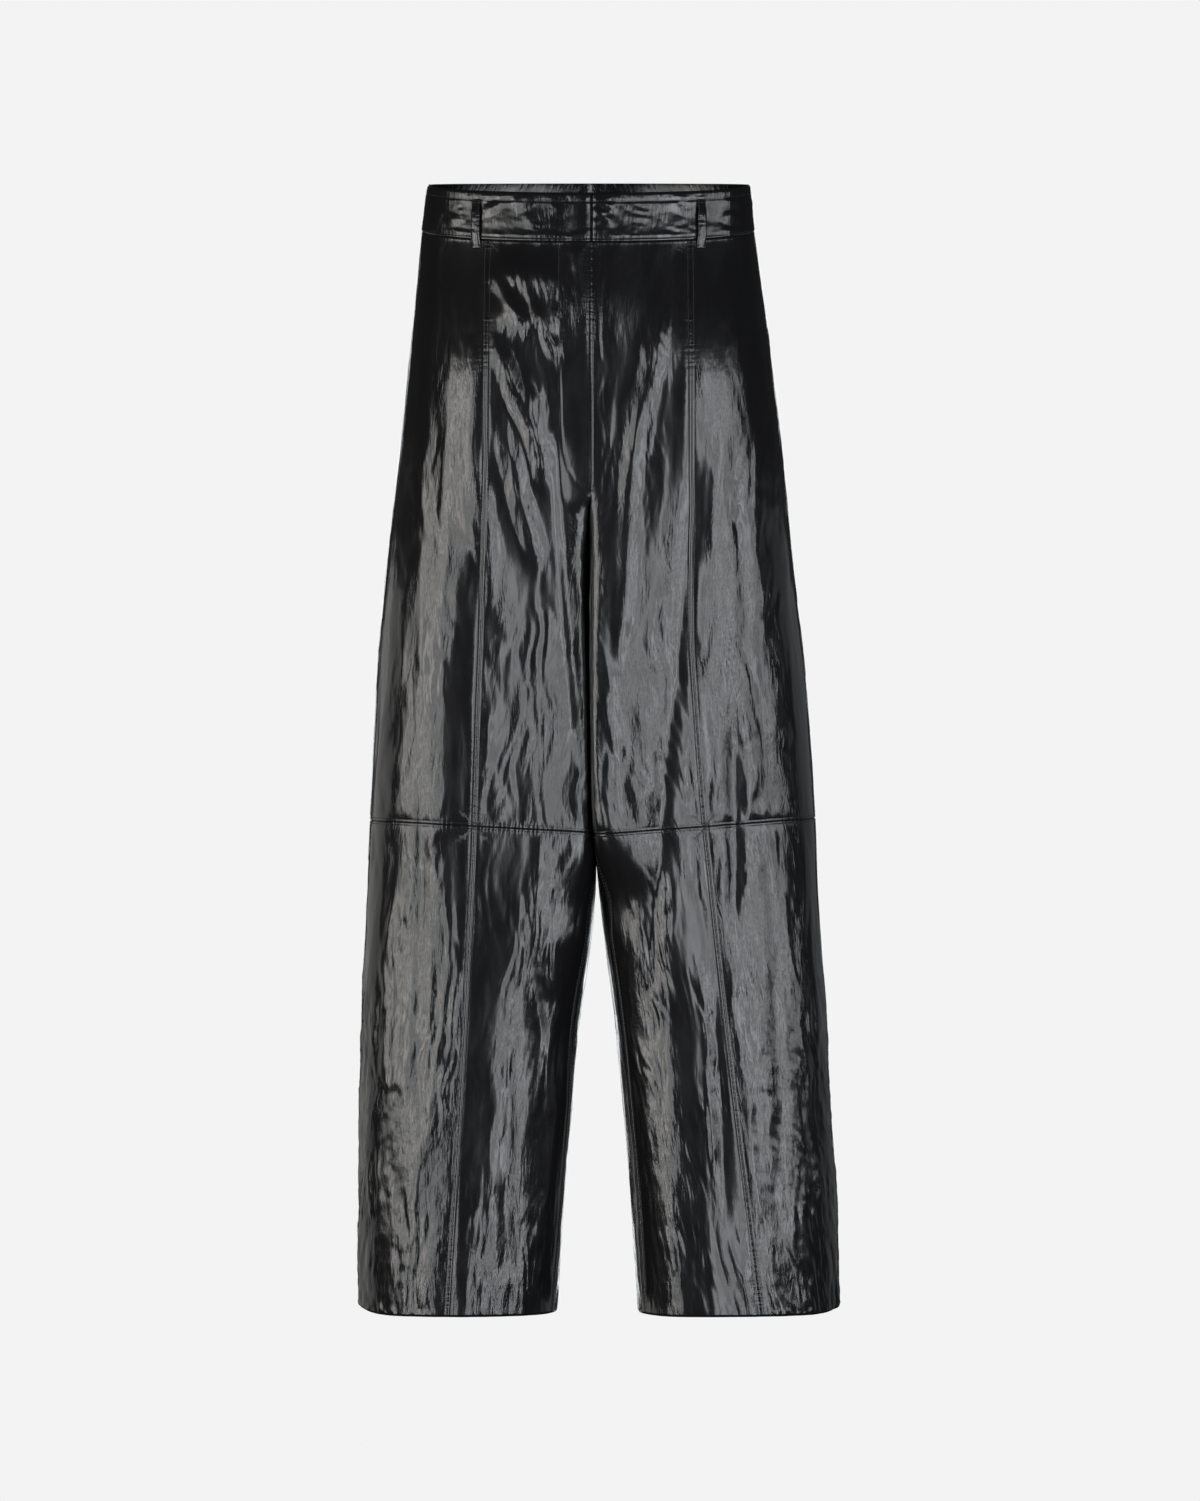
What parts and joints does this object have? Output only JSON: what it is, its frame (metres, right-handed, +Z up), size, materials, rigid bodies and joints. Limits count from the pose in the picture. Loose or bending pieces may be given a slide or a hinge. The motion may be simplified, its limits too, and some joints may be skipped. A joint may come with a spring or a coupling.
{
  "type": "leather trousers",
  "caption": "High-waisted wide-legged leather trousers, hollow and in worn form, with waistband, belt loops and panelled legs.",
  "frame": {"origin": "centre of the waist, level with the waistband's lower seam at the side seams", "axes": "+Z up towards the waistband, -Y the front of the garment, +X the wearer's left"},
  "size_m": [0.452, 0.239, 1.067],
  "materials": {
    "leather": "glossy, finely creased black leather",
    "band_leather": "glossy black leather, two layers",
    "thread": "black polyester sewing thread"
  },
  "bodies": {
    "root": {"waistband_right": "band_leather", "waistband_left": "band_leather", "waistband_underlap": "band_leather", "belt_loop_front_right": "band_leather", "belt_loop_front_left": "band_leather", "belt_loop_back_right": "band_leather", "belt_loop_back_centre": "band_leather", "belt_loop_back_left": "band_leather", "right_front_centre_upper": "leather", "right_front_side_upper": "leather", "right_back_upper": "leather", "right_front_centre_lower": "leather", "right_front_side_lower": "leather", "right_back_lower": "leather", "left_front_centre_upper": "leather", "left_front_side_upper": "leather", "left_back_upper": "leather", "left_front_centre_lower": "leather", "left_front_side_lower": "leather", "left_back_lower": "leather"}
  },
  "joints": []
}
